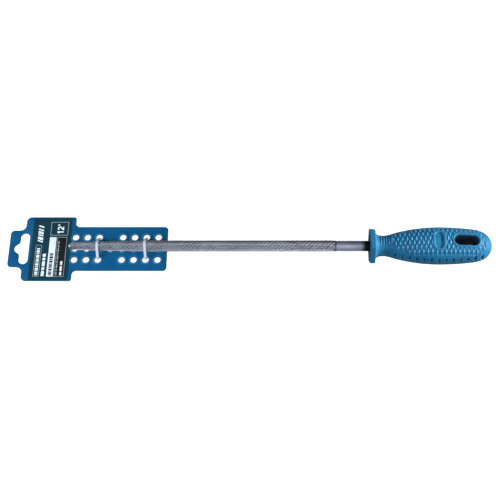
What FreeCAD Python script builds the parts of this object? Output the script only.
import FreeCAD, Part
import math
import os

import Sketcher

# Round wood rasp, 12 inch pattern, tied to a moulded plastic hang card.
# Frame: X runs along the blade (tip and card towards -X, handle towards +X),
# +Z is the face of the card and of the handle, Y is across the card.
# The origin is the centre of the whole object's box, and it lies on the blade axis.
# "Front" and "back" mean +Z and -Z, except on the handle flange and the core
# plate, whose front faces look along -X.

V = FreeCAD.Vector
doc = FreeCAD.newDocument("wood_rasp")
sheet = doc.addObject("Spreadsheet::Sheet", "Dimensions")


# ---------------------------------------------------------------- sizes
class Size:
    """A value together with the sheet expression that gives it."""

    def __init__(self, value, text):
        self.value = value
        self.text = text

    def combine(self, sign, other, value):
        return Size(value, "(%s %s %s)" % (self.text, sign, formula(other)))

    def __add__(self, other):
        return self.combine("+", other, self.value + number(other))

    def __sub__(self, other):
        return self.combine("-", other, self.value - number(other))

    def __mul__(self, other):
        return self.combine("*", other, self.value * number(other))

    def __truediv__(self, other):
        return self.combine("/", other, self.value / number(other))

    def __neg__(self):
        return Size(-self.value, "(-%s)" % self.text)


def number(size):
    return size.value if isinstance(size, Size) else float(size)


def formula(size):
    return size.text if isinstance(size, Size) else "(%r)" % float(size)


class Dimensions:
    """Holds each driving dimension as an attribute named by its alias."""

    def __init__(self):
        self.row = 0

    def add(self, alias, value, note=""):
        self.row += 1
        sheet.set("A%d" % self.row, alias.replace("_", " "))
        sheet.set("B%d" % self.row, repr(float(value)))
        sheet.setAlias("B%d" % self.row, alias)
        if note:
            sheet.set("C%d" % self.row, note)
        size = Size(float(value), "Dimensions." + alias)
        setattr(self, alias, size)
        return size


# Alias, value in millimetres, note.
DIMENSIONS = [
    # blade
    ("flange_x", 121.0, "front face of the handle flange"),
    ("blade_len", 300.0, "exposed blade, 12 inch size"),
    ("blade_rad", 5.4, "over the tooth crests"),
    ("tip_rad", 3.75, "blunt tip"),
    ("tip_bevel", 0.7, ""),
    ("taper_len", 80.0, "tapered end of the toothed length"),
    ("shank_len", 32.0, "smooth shank in front of the handle"),
    ("shank_rad", 5.15, ""),
    ("shank_step", 1.2, "length of the slope from teeth to shank"),
    ("shank_inside", 3.0, "shank carried on inside the handle"),
    ("tang_step", 1.0, "length of the slope from shank to tang"),
    ("tang_len", 72.0, "from the flange face to the end of the tang"),
    ("tang_rad", 4.4, ""),
    ("tang_end_rad", 2.2, ""),
    ("tang_bevel_len", 2.0, "bevel at the end of the tang, along X"),
    ("tang_bevel", 0.9, "the same bevel, off the radius"),
    # handle
    ("hex_rad", 18.9, "flange hexagon, centre to corner"),
    ("hex_len", 6.2, "flange thickness"),
    ("hex_bevel", 0.5, "rounding of all flange edges"),
    ("plate_rad", 13.4, "black front plate of the core"),
    ("plate_len", 2.2, ""),
    ("skin", 2.8, "thickness of the soft cover"),
    ("neck_step", 0.15, "core neck below the first core section"),
    ("neck_overlap", 2.0, "core neck run into the core form"),
    ("slot_x", 215.0, "centre of the hanging slot"),
    ("slot_len", 24.7, ""),
    ("slot_wid", 10.8, ""),
    ("slot_cut", 60.0, "height of the slot cutter"),
    ("recess_x", 188.0, "centre of the blank recess"),
    ("recess_wid", 8.5, ""),
    ("recess_len", 18.0, ""),
    ("recess_deep", 2.1, ""),
    ("recess_cut", 5.0, "height of the recess cutter"),
    # card
    ("card_top", -6.00, "upper face of the card"),
    ("card_thk", 1.2, ""),
    ("card_end", -80.8, "edge nearest the handle"),
    ("narrow_len", 94.5, ""),
    ("narrow_half", 24.3, ""),
    ("wide_len", 50.9, ""),
    ("wide_half", 35.5, ""),
    ("tab_len", 15.0, ""),
    ("tab_half", 20.4, ""),
    ("card_round", 3.6, "outer corners"),
    ("card_cove", 4.2, "inner corners"),
    ("hole_rad", 3.25, ""),
    ("hole_pitch", 12.0, ""),
    ("hole_first", -174.2, "first column of holes"),
    ("hole_row", 12.4, "outer rows, each side of the middle row"),
    ("ring_rad", 4.65, "raised ring round each hole"),
    ("ring_up", 0.35, ""),
    ("ring_sink", 0.2, "ring overlap with the card"),
    ("cut_above", 0.5, "start of the card cuts above the surface"),
    ("euro_x", -226.2, ""),
    ("euro_len", 34.0, ""),
    ("euro_wid", 9.8, ""),
    ("bump_x", -232.0, "round bulge of the euro slot"),
    ("bump_rad", 4.9, ""),
    # labels
    ("label_left", -218.6, "end of the front label towards the tab"),
    ("label_len", 39.6, ""),
    ("label_half", 34.4, ""),
    ("label_thk", 0.15, ""),
    ("back_inset", 2.0, "start of the back label past the front one"),
    ("back_len", 36.0, ""),
    ("back_half", 24.0, ""),
    # ties
    ("tie_thk", 1.0, ""),
    ("tie_wid", 2.6, ""),
    ("tie_gap", 0.28, "running clearance round the blade"),
    ("tie_leg", 10.35, "inner faces of the legs from the middle"),
    ("tie_back", -7.60, "inner face of the strap behind the card"),
    ("tie_knee", -5.2, "height where the legs bend in"),
    ("tie_overrun", 4.0, "extra width of the cutter inside the strap"),
    ("head_len", 5.0, "across the card"),
    ("head_wid", 4.6, "along the blade"),
    ("head_high", 3.6, ""),
    ("head_off", 3.0, "head centre to one side of the blade"),
    ("head_overlap", 1.0, "head sunk over the strap"),
    ("head_round", 0.6, "rounding of all head edges"),
    ("tail_high", 1.6, ""),
    ("tail_out", 1.2, "tail standing out behind the head"),
]

# Handle sections: position along X, half width (Y), half height (Z).
GRIP = [
    (122.6, 14.20, 14.20),
    (124.6, 13.00, 13.00),
    (127.0, 11.40, 11.40),
    (130.0, 10.50, 10.50),
    (133.5, 10.00, 10.00),
    (138.9, 10.55, 10.35),
    (144.8, 12.35, 11.60),
    (150.8, 14.00, 12.75),
    (159.6, 15.90, 14.05),
    (168.5, 17.35, 15.00),
    (177.3, 18.25, 15.65),
    (189.1, 18.72, 15.98),
    (200.9, 18.40, 15.75),
    (212.6, 17.60, 15.12),
    (222.5, 16.45, 14.10),
    (229.5, 14.90, 12.85),
    (234.6, 12.35, 10.70),
    (238.4, 8.75, 7.65),
    (240.4, 5.10, 4.50),
    (241.2, 1.90, 1.70),
]
NECK = 4        # narrowest section, where the core form starts
WIDEST = 11
CORE_LAST = 16  # the core form closes here, inside the pommel

dims = Dimensions()
for alias, value, note in DIMENSIONS:
    dims.add(alias, value, note)
grip = [
    (dims.add("grip_pos_%02d" % i, pos),
     dims.add("grip_half_y_%02d" % i, half_y),
     dims.add("grip_half_z_%02d" % i, half_z))
    for i, (pos, half_y, half_z) in enumerate(GRIP)]
doc.recompute()

# Local Z turned to the blade axis.
ALONG_X = FreeCAD.Rotation(V(0, 0, 1), V(1, 0, 0))
# Local X, Y and Z turned to Y, Z and X.
SECTION = FreeCAD.Rotation(FreeCAD.Matrix(0, 0, 1, 0, 1, 0, 0, 0, 0, 1, 0, 0, 0, 0, 0, 1))


# ---------------------------------------------------------------- binding and sketches
def drive(obj, prop, size):
    setattr(obj, prop, number(size))
    obj.setExpression(prop, formula(size))


def place(obj, position, rotation=FreeCAD.Rotation()):
    obj.Placement = FreeCAD.Placement(V(*[number(size) for size in position]), rotation)
    for axis, size in zip("xyz", position):
        if isinstance(size, Size):
            obj.setExpression("Placement.Base." + axis, size.text)


def free_sketch(name, position, rotation=FreeCAD.Rotation()):
    sketch = doc.addObject("Sketcher::SketchObject", name)
    place(sketch, position, rotation)
    return sketch


def body_sketch(body, name, role, offset=None):
    """Sketch on one of the body's origin planes, moved along its normal."""
    sketch = body.newObject("Sketcher::SketchObject", name)
    plane = next(f for f in body.Origin.OriginFeatures if f.Role == role)
    sketch.AttachmentSupport = [(plane, "")]
    sketch.MapMode = "FlatFace"
    if offset is not None:
        sketch.AttachmentOffset = FreeCAD.Placement(V(0, 0, number(offset)), FreeCAD.Rotation())
        sketch.setExpression("AttachmentOffset.Base.z", formula(offset))
    return sketch


def drive_constraint(sketch, constraint, size):
    index = sketch.addConstraint(constraint)
    sketch.setExpression("Constraints[%d]" % index, formula(size))


def pin_point(sketch, geo, where, x, y):
    """Fix a sketch point by its two distances from the sketch origin."""
    for kind, size in (("DistanceX", x), ("DistanceY", y)):
        drive_constraint(
            sketch, Sketcher.Constraint(kind, -1, 1, geo, where, number(size)), size)


def drive_radius(sketch, geo, radius):
    drive_constraint(sketch, Sketcher.Constraint("Radius", geo, number(radius)), radius)


def circle_at(centre, radius):
    return Part.Circle(centre, V(0, 0, 1), radius)


def polygon(sketch, points):
    """Closed outline of straight lines through driven corners."""
    count = len(points)
    corners = [V(number(x), number(y), 0) for x, y in points]
    for i in range(count):
        sketch.addGeometry(Part.LineSegment(corners[i], corners[(i + 1) % count]), False)
    for i in range(count):
        sketch.addConstraint(Sketcher.Constraint("Coincident", i, 2, (i + 1) % count, 1))
    for i, (x, y) in enumerate(points):
        pin_point(sketch, i, 1, x, y)


def circle(sketch, x, y, radius):
    centre = V(number(x), number(y), 0)
    geo = sketch.addGeometry(circle_at(centre, number(radius)), False)
    pin_point(sketch, geo, 3, x, y)
    drive_radius(sketch, geo, radius)


def obround(sketch, centre_x, length, width, along_y=False):
    """Slot with round ends, centred on the sketch's X axis."""
    reach = (length - width) / 2
    radius = width / 2
    if along_y:
        along, side, start = V(0, -1, 0), V(1, 0, 0), 0.0
        arc_centres = ((centre_x, reach), (centre_x, -reach))
    else:
        along, side, start = V(1, 0, 0), V(0, 1, 0), math.pi / 2
        arc_centres = ((centre_x - reach, 0), (centre_x + reach, 0))
    centre = V(centre_x.value, 0, 0)
    near = centre - along * reach.value
    far = centre + along * reach.value
    side = side * radius.value
    for shape in (
            Part.ArcOfCircle(circle_at(near, radius.value), start, start + math.pi),
            Part.ArcOfCircle(circle_at(far, radius.value), start - math.pi, start),
            Part.LineSegment(near - side, far - side),
            Part.LineSegment(far + side, near + side)):
        sketch.addGeometry(shape, False)
    for joint in ((0, 2, 2, 1), (2, 2, 1, 1), (1, 2, 3, 1), (3, 2, 0, 1)):
        sketch.addConstraint(Sketcher.Constraint("Tangent", *joint))
    for geo, (x, y) in enumerate(arc_centres):
        pin_point(sketch, geo, 3, x, y)
    drive_radius(sketch, 0, radius)


# ---------------------------------------------------------------- features
def new_body(name):
    return doc.addObject("PartDesign::Body", name)


def profile_feature(body, kind, name, sketch):
    doc.recompute()
    feature = body.newObject("PartDesign::" + kind, name)
    feature.Profile = sketch
    sketch.Visibility = False
    return feature


def pad(body, name, sketch, length):
    feature = profile_feature(body, "Pad", name, sketch)
    drive(feature, "Length", length)
    doc.recompute()
    return feature


def cut_through(body, name, sketch):
    feature = profile_feature(body, "Pocket", name, sketch)
    feature.Type = "ThroughAll"
    doc.recompute()


def round_edges(body, name, base, edges, radius):
    feature = body.newObject("PartDesign::Fillet", name)
    feature.Base = (base, edges)
    drive(feature, "Radius", radius)
    doc.recompute()
    return feature


def loft(name, sections):
    feature = doc.addObject("Part::Loft", name)
    feature.Sections = sections
    feature.Solid = True
    feature.Ruled = False
    feature.Closed = False
    return feature


def extrude(name, sketch, length, centred=False, direction=None):
    doc.recompute()
    feature = doc.addObject("Part::Extrusion", name)
    feature.Base = sketch
    if direction is None:
        feature.DirMode = "Normal"
    else:
        feature.DirMode = "Custom"
        feature.Dir = direction
    feature.Solid = True
    feature.Symmetric = centred
    drive(feature, "LengthFwd", length)
    doc.recompute()
    return feature


def cut(name, base, tool):
    feature = doc.addObject("Part::Cut", name)
    feature.Base = base
    feature.Tool = tool
    doc.recompute()
    return feature


def fuse(name, shapes):
    feature = doc.addObject("Part::MultiFuse", name)
    feature.Shapes = shapes
    doc.recompute()
    return feature


def box(name, length, width, height, corner):
    feature = doc.addObject("Part::Box", name)
    drive(feature, "Length", length)
    drive(feature, "Width", width)
    drive(feature, "Height", height)
    place(feature, corner)
    doc.recompute()
    return feature


# ---------------------------------------------------------------- rasp_blade
blade_tip = dims.flange_x - dims.blade_len


def build_blade():
    """Turned bar: blunt tip, long taper, toothed length, smooth shank and tang."""
    body = new_body("rasp_blade")
    sketch = body_sketch(body, "blade_profile", "XZ_Plane")
    shank_start = dims.flange_x - dims.shank_len
    shank_end = dims.flange_x + dims.shank_inside
    tang_end = dims.flange_x + dims.tang_len
    polygon(sketch, [
        (blade_tip, 0),
        (blade_tip, dims.tip_rad - dims.tip_bevel),
        (blade_tip + dims.tip_bevel, dims.tip_rad),
        (blade_tip + dims.taper_len, dims.blade_rad),
        (shank_start - dims.shank_step, dims.blade_rad),
        (shank_start, dims.shank_rad),
        (shank_end, dims.shank_rad),
        (shank_end + dims.tang_step, dims.tang_rad),
        (tang_end - dims.tang_bevel_len, dims.tang_end_rad),
        (tang_end, dims.tang_end_rad - dims.tang_bevel),
        (tang_end, 0),
    ])
    turn = profile_feature(body, "Revolution", "blade_turn", sketch)
    turn.ReferenceAxis = (sketch, ["H_Axis"])
    turn.Angle = 360.0
    doc.recompute()
    return body


# ---------------------------------------------------------------- handle
def ellipse_section(name, pos, half_y, half_z):
    ellipse = doc.addObject("Part::Ellipse", name)
    drive(ellipse, "MajorRadius", half_y)
    drive(ellipse, "MinorRadius", half_z)
    place(ellipse, (pos, 0, 0), SECTION)
    return ellipse


def flange_cylinder(name, radius, height):
    """Cylinder on the blade axis, from the flange face into the handle."""
    cylinder = doc.addObject("Part::Cylinder", name)
    place(cylinder, (dims.flange_x, 0, 0), ALONG_X)
    drive(cylinder, "Radius", radius)
    drive(cylinder, "Height", height)
    return cylinder


def build_hex_flange():
    """Hexagonal collar with its flats up and down."""
    body = new_body("hex_flange")
    sketch = body_sketch(body, "hex_outline", "YZ_Plane", dims.flange_x)
    corner = dims.hex_rad
    half_side = dims.hex_rad * 0.5
    flat = dims.hex_rad * math.sin(math.radians(60))
    polygon(sketch, [
        (corner, 0), (half_side, flat), (-half_side, flat),
        (-corner, 0), (-half_side, -flat), (half_side, -flat)])
    collar = pad(body, "hex_pad", sketch, dims.hex_len)
    edges = ["Edge%d" % (i + 1) for i in range(len(collar.Shape.Edges))]
    round_edges(body, "hex_rounding", collar, edges, dims.hex_bevel)
    return body


def build_cover_solid():
    form = loft("grip_form", [
        ellipse_section("grip_sec_%02d" % i, *station) for i, station in enumerate(grip)])
    return fuse("cover_solid", [form, build_hex_flange()])


def build_core_solid():
    """Plate seen inside the collar, a neck, and a form one skin inside the grip."""
    sections = []
    for i in range(NECK, CORE_LAST + 1):
        pos, half_y, half_z = grip[i]
        sections.append(ellipse_section(
            "core_sec_%02d" % i, pos, half_y - dims.skin, half_z - dims.skin))
    form = loft("core_form", sections)
    neck_pos, _, neck_half = grip[NECK]
    neck = flange_cylinder("core_neck", neck_half - dims.skin - dims.neck_step,
                           neck_pos - dims.flange_x + dims.neck_overlap)
    plate = flange_cylinder("core_plate", dims.plate_rad, dims.plate_len)
    doc.recompute()
    return fuse("core_solid", [form, neck, plate])


def recess_tool(side, base):
    sketch = free_sketch("recess_outline_" + side, (0, 0, base))
    obround(sketch, dims.recess_x, dims.recess_len, dims.recess_wid, along_y=True)
    return extrude("recess_" + side, sketch, dims.recess_cut)


def build_handle(blade):
    """Core and cover, with a slot through the pommel and a recess on each face."""
    cover_solid = build_cover_solid()
    core_solid = build_core_solid()

    sketch = free_sketch("slot_outline", (0, 0, 0))
    obround(sketch, dims.slot_x, dims.slot_len, dims.slot_wid)
    slot = extrude("slot_tool", sketch, dims.slot_cut, centred=True)

    recess_floor = grip[WIDEST][2] - dims.recess_deep
    recess_front = recess_tool("front", recess_floor)
    recess_back = recess_tool("back", -recess_floor - dims.recess_cut)

    core = cut("core_slotted", core_solid, slot)
    core = cut("handle_core", core, blade)

    cover = cut("cover_slotted", cover_solid, slot)
    cover = cut("cover_recess_front", cover, recess_front)
    cover = cut("cover_recess_back", cover, recess_back)
    cover = cut("grip_cover", cover, core_solid)
    return core, cover


# ---------------------------------------------------------------- hang_card
HOLE_COLUMNS = 8
SINGLE_COLUMN = 3  # this column has only its middle hole


def column_x(column):
    return dims.hole_first + dims.hole_pitch * column


def upright_edges(feature, points):
    """Names of the feature's edges that stand along Z at the given points."""
    names = []
    for i, edge in enumerate(feature.Shape.Edges):
        if len(edge.Vertexes) != 2:
            continue
        start, end = [vertex.Point for vertex in edge.Vertexes]
        if abs(start.x - end.x) > 1e-4 or abs(start.y - end.y) > 1e-4:
            continue
        for x, y in points:
            if abs(start.x - number(x)) < 1e-3 and abs(start.y - number(y)) < 1e-3:
                names.append("Edge%d" % (i + 1))
    return names


def hole_circles(body, name, height, radius):
    """Sketch with one circle at each hole of the narrow strip."""
    sketch = body_sketch(body, name, "XY_Plane", height)
    for column in range(HOLE_COLUMNS):
        rows = [0] if column == SINGLE_COLUMN else [-1, 0, 1]
        for row in rows:
            circle(sketch, column_x(column), dims.hole_row * row, radius)
    return sketch


def build_card():
    """Tab with a euro slot, wide part for the labels, narrow strip with ringed holes."""
    body = new_body("hang_card")
    sketch = body_sketch(body, "card_outline", "XY_Plane", dims.card_top - dims.card_thk)
    strip_end = dims.card_end
    wide_start = strip_end - dims.narrow_len
    tab_start = wide_start - dims.wide_len
    tab_end = tab_start - dims.tab_len
    narrow, wide, tab = dims.narrow_half, dims.wide_half, dims.tab_half
    polygon(sketch, [
        (strip_end, -narrow), (strip_end, narrow), (wide_start, narrow), (wide_start, wide),
        (tab_start, wide), (tab_start, tab), (tab_end, tab), (tab_end, -tab),
        (tab_start, -tab), (tab_start, -wide), (wide_start, -wide), (wide_start, -narrow)])
    plate = pad(body, "card_plate", sketch, dims.card_thk)

    outer = [(x, y) for x, half in ((strip_end, narrow), (wide_start, wide),
                                    (tab_start, wide), (tab_end, tab))
             for y in (half, -half)]
    inner = [(x, y) for x, half in ((wide_start, narrow), (tab_start, tab))
             for y in (half, -half)]
    rounded = round_edges(
        body, "card_corners", plate, upright_edges(plate, outer), dims.card_round)
    round_edges(body, "card_coves", rounded, upright_edges(rounded, inner), dims.card_cove)

    sketch = hole_circles(body, "ring_outline", dims.card_top - dims.ring_sink, dims.ring_rad)
    pad(body, "ring_pad", sketch, dims.ring_up + dims.ring_sink)
    above_rings = dims.card_top + dims.ring_up + dims.cut_above
    sketch = hole_circles(body, "hole_outline", above_rings, dims.hole_rad)
    cut_through(body, "tie_holes", sketch)

    above_card = dims.card_top + dims.cut_above
    sketch = body_sketch(body, "euro_outline", "XY_Plane", above_card)
    obround(sketch, dims.euro_x, dims.euro_len, dims.euro_wid, along_y=True)
    cut_through(body, "euro_slot", sketch)
    sketch = body_sketch(body, "euro_bump_outline", "XY_Plane", above_card)
    circle(sketch, dims.bump_x, 0, dims.bump_rad)
    cut_through(body, "euro_bump", sketch)
    return body


# ---------------------------------------------------------------- labels
def build_label(name, left, length, half, base):
    body = new_body(name)
    sketch = body_sketch(body, name + "_outline", "XY_Plane", base)
    right = left + length
    polygon(sketch, [(left, -half), (right, -half), (right, half), (left, half)])
    pad(body, name + "_sheet", sketch, dims.label_thk)
    return body


# ---------------------------------------------------------------- ties
# Nylon strap that rises through one hole, passes over the blade, goes back
# through the opposite hole and is locked in a head behind the card.
def blade_radius_at(x):
    """Blade radius on the straight line from tip radius to full radius."""
    share = max(0.0, min(1.0, (x - blade_tip.value) / dims.taper_len.value))
    return dims.tip_rad.value + (dims.blade_rad.value - dims.tip_rad.value) * share


def tangent_angle(radius, leg, knee):
    """Angle on the circle round the blade where the line from the knee touches it."""
    return math.atan2(knee, leg) + math.acos(radius / math.hypot(leg, knee))


def outer_knee_rise(radius):
    """Height of the outer knee over the inner one, with the slopes parallel."""
    leg, knee, thickness = dims.tie_leg.value, dims.tie_knee.value, dims.tie_thk.value
    angle = tangent_angle(radius, leg, knee)
    slope_y = radius * math.cos(angle) - leg
    slope_z = radius * math.sin(angle) - knee
    length = math.hypot(slope_y, slope_z)
    slope_y, slope_z = slope_y / length, slope_z / length
    normal_y, normal_z = slope_z, -slope_y
    step = (thickness - normal_y * thickness) / slope_y
    return normal_z * thickness + step * slope_z


def loop_block(name, column, radius, leg, knee, back, width):
    """Solid with the outline of one side of the strap, run along the blade."""
    angle = tangent_angle(radius.value, leg.value, knee.value)
    touch_y = radius.value * math.cos(angle)
    touch_z = radius.value * math.sin(angle)
    sketch = free_sketch(name + "_outline", (column_x(column), 0, 0), SECTION)
    arc = Part.ArcOfCircle(circle_at(V(0, 0, 0), radius.value), angle, math.pi - angle)
    sketch.addGeometry(arc, False)
    path = [
        V(-touch_y, touch_z, 0), V(-leg.value, knee.value, 0), V(-leg.value, back.value, 0),
        V(leg.value, back.value, 0), V(leg.value, knee.value, 0), V(touch_y, touch_z, 0)]
    for start, end in zip(path, path[1:]):
        sketch.addGeometry(Part.LineSegment(start, end), False)
    sketch.addConstraint(Sketcher.Constraint("Coincident", 0, 3, -1, 1))
    sketch.addConstraint(Sketcher.Constraint("Tangent", 0, 2, 1, 1))
    for line in range(1, 5):
        sketch.addConstraint(Sketcher.Constraint("Coincident", line, 2, line + 1, 1))
    sketch.addConstraint(Sketcher.Constraint("Tangent", 5, 2, 0, 1))
    drive_radius(sketch, 0, radius)
    corners = [(-leg, knee), (-leg, back), (leg, back), (leg, knee)]
    for line, (y, z) in enumerate(corners, 2):
        pin_point(sketch, line, 1, y, z)
    return extrude(name, sketch, width, centred=True, direction=V(1, 0, 0))


def build_tie(name, column, side):
    """Tie through one column of holes; side is the sign of its head's Y."""
    middle = column_x(column)
    thick_edge = middle + dims.tie_wid / 2
    under = dims.add(name + "_blade_rad", blade_radius_at(thick_edge.value),
                     "blade radius under this tie")
    inner_radius = under + dims.tie_gap
    rise = dims.add(name + "_knee_up", outer_knee_rise(inner_radius.value),
                    "outer knee above the inner one")
    doc.recompute()

    inside = loop_block(name + "_inside", column, inner_radius, dims.tie_leg,
                        dims.tie_knee, dims.tie_back, dims.tie_wid + dims.tie_overrun)
    outside = loop_block(name + "_outside", column, inner_radius + dims.tie_thk,
                         dims.tie_leg + dims.tie_thk, dims.tie_knee + rise,
                         dims.tie_back - dims.tie_thk, dims.tie_wid)
    strap = cut(name + "_strap", outside, inside)

    head_y = dims.head_off * side
    head_z = dims.tie_back - dims.tie_thk - dims.head_high + dims.head_overlap
    block = box(name + "_head_block", dims.head_wid, dims.head_len, dims.head_high,
                (middle - dims.head_wid / 2, head_y - dims.head_len / 2, head_z))
    head = doc.addObject("Part::Fillet", name + "_head")
    head.Base = block
    rounding = dims.head_round.value
    head.Edges = [(i + 1, rounding, rounding) for i in range(len(block.Shape.Edges))]

    # short cut end of the strap, standing out behind the head
    tail = box(name + "_tail", dims.tie_wid, dims.tie_thk, dims.tail_high,
               (middle - dims.tie_wid / 2, head_y - dims.tie_thk / 2, head_z - dims.tail_out))
    return fuse(name, [strap, head, tail])


# ---------------------------------------------------------------- build and write out
rasp_blade = build_blade()
handle_core, grip_cover = build_handle(rasp_blade)
parts = [
    rasp_blade,
    handle_core,
    grip_cover,
    build_card(),
    build_label("front_label", dims.label_left, dims.label_len, dims.label_half,
                dims.card_top),
    build_label("back_label", dims.label_left + dims.back_inset, dims.back_len,
                dims.back_half, dims.card_top - dims.card_thk - dims.label_thk),
    build_tie("tie_tip", 2, 1),
    build_tie("tie_handle", 6, -1),
]
doc.recompute()

for obj in doc.Objects:
    bad = [state for state in obj.State if state in ("Invalid", "Error")]
    if bad:
        raise RuntimeError("%s is %s" % (obj.Name, bad))
for obj in parts:
    if obj.Shape.isNull() or not obj.Shape.isValid():
        raise RuntimeError("%s has a bad shape" % obj.Label)
    if not obj.Shape.Solids:
        raise RuntimeError("%s has no solid" % obj.Label)

os.makedirs("parts", exist_ok=True)
for obj in parts:
    obj.Shape.exportStep(os.path.join("parts", obj.Label + ".step"))
